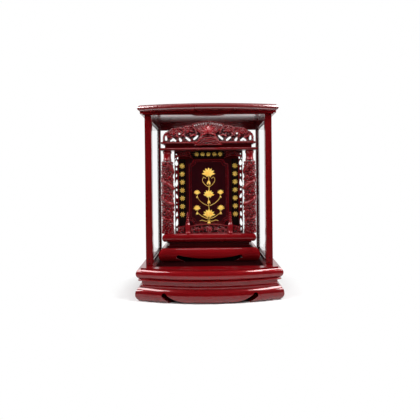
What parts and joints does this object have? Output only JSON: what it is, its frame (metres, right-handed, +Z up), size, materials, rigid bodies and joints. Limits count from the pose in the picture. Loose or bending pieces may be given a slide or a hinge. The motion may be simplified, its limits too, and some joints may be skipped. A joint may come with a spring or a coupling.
{
  "type": "ancestor tablet in a glazed case",
  "caption": "Carved red-lacquer ancestor tablet with coiled-dragon columns and pierced crown, standing in a glazed wooden case on a bow-front moulded base.",
  "frame": {"origin": "bottom centre of the overall box, on the surface the case stands on", "axes": "+Z up, the open front faces -Y, +X to the viewer's right"},
  "size_m": [0.462, 0.308, 0.608],
  "materials": {
    "red_lacquer": "gloss red lacquer over dense hardwood",
    "carved_lacquer": "gloss red lacquer over carving",
    "panel_lacquer": "deep wine lacquer, gloss",
    "black_lacquer": "black lacquer, satin",
    "gilt": "gold leaf, burnished",
    "bare_wood": "planed, unfinished",
    "clear_glass": "clear float glass"
  },
  "bodies": {
    "case": {"plinth_front_rail": "red_lacquer", "plinth_left_rail": "red_lacquer", "plinth_right_rail": "red_lacquer", "plinth_back_rail": "red_lacquer", "plinth_glue_blocks": "bare_wood", "waist_front_rail": "red_lacquer", "waist_left_rail": "red_lacquer", "waist_right_rail": "red_lacquer", "waist_back_rail": "red_lacquer", "deck_board": "red_lacquer", "front_post_left": "red_lacquer", "front_post_right": "red_lacquer", "back_post_left": "red_lacquer", "back_post_right": "red_lacquer", "lower_rail_left": "red_lacquer", "lower_rail_right": "red_lacquer", "upper_rail_left": "red_lacquer", "upper_rail_right": "red_lacquer", "lower_rail_back": "red_lacquer", "upper_rail_back": "red_lacquer", "side_pane_left": "clear_glass", "side_pane_right": "clear_glass", "back_pane": "clear_glass", "frieze_front": "red_lacquer", "frieze_left": "red_lacquer", "frieze_right": "red_lacquer", "frieze_back": "red_lacquer", "top_board": "red_lacquer"},
    "tablet": {"tablet_plinth": "red_lacquer", "tablet_waist": "red_lacquer", "tablet_deck": "red_lacquer", "dragon_column_left": "carved_lacquer", "dragon_column_right": "carved_lacquer", "front_board": "red_lacquer", "couplet_panel_left": "black_lacquer", "couplet_panel_right": "black_lacquer", "name_panel": "panel_lacquer", "header_plaque": "black_lacquer", "spandrel_left": "carved_lacquer", "spandrel_right": "carved_lacquer", "side_fret_left": "carved_lacquer", "side_fret_right": "carved_lacquer", "entablature_lintel": "red_lacquer", "entablature_neck": "red_lacquer", "entablature_cap": "red_lacquer", "arch_plaque": "carved_lacquer", "crown": "carved_lacquer", "fence_panel": "carved_lacquer", "fence_finial_left": "carved_lacquer", "fence_finial_right": "carved_lacquer", "fence_wing_left": "carved_lacquer", "fence_wing_right": "carved_lacquer", "slip_box_side_left": "red_lacquer", "slip_box_side_right": "red_lacquer", "slip_box_roof": "red_lacquer", "name_slips": "bare_wood"},
    "slip_cover": {"slip_cover": "red_lacquer"}
  },
  "joints": [
    {"name": "tablet_withdraw", "type": "slide", "parent": "case", "child": "tablet", "axis": [0, -1, 0], "range_m": [0, 0.26]},
    {"name": "cover_lift", "type": "slide", "parent": "tablet", "child": "slip_cover", "axis": [0, 0, 1], "range_m": [0, 0.17]}
  ]
}
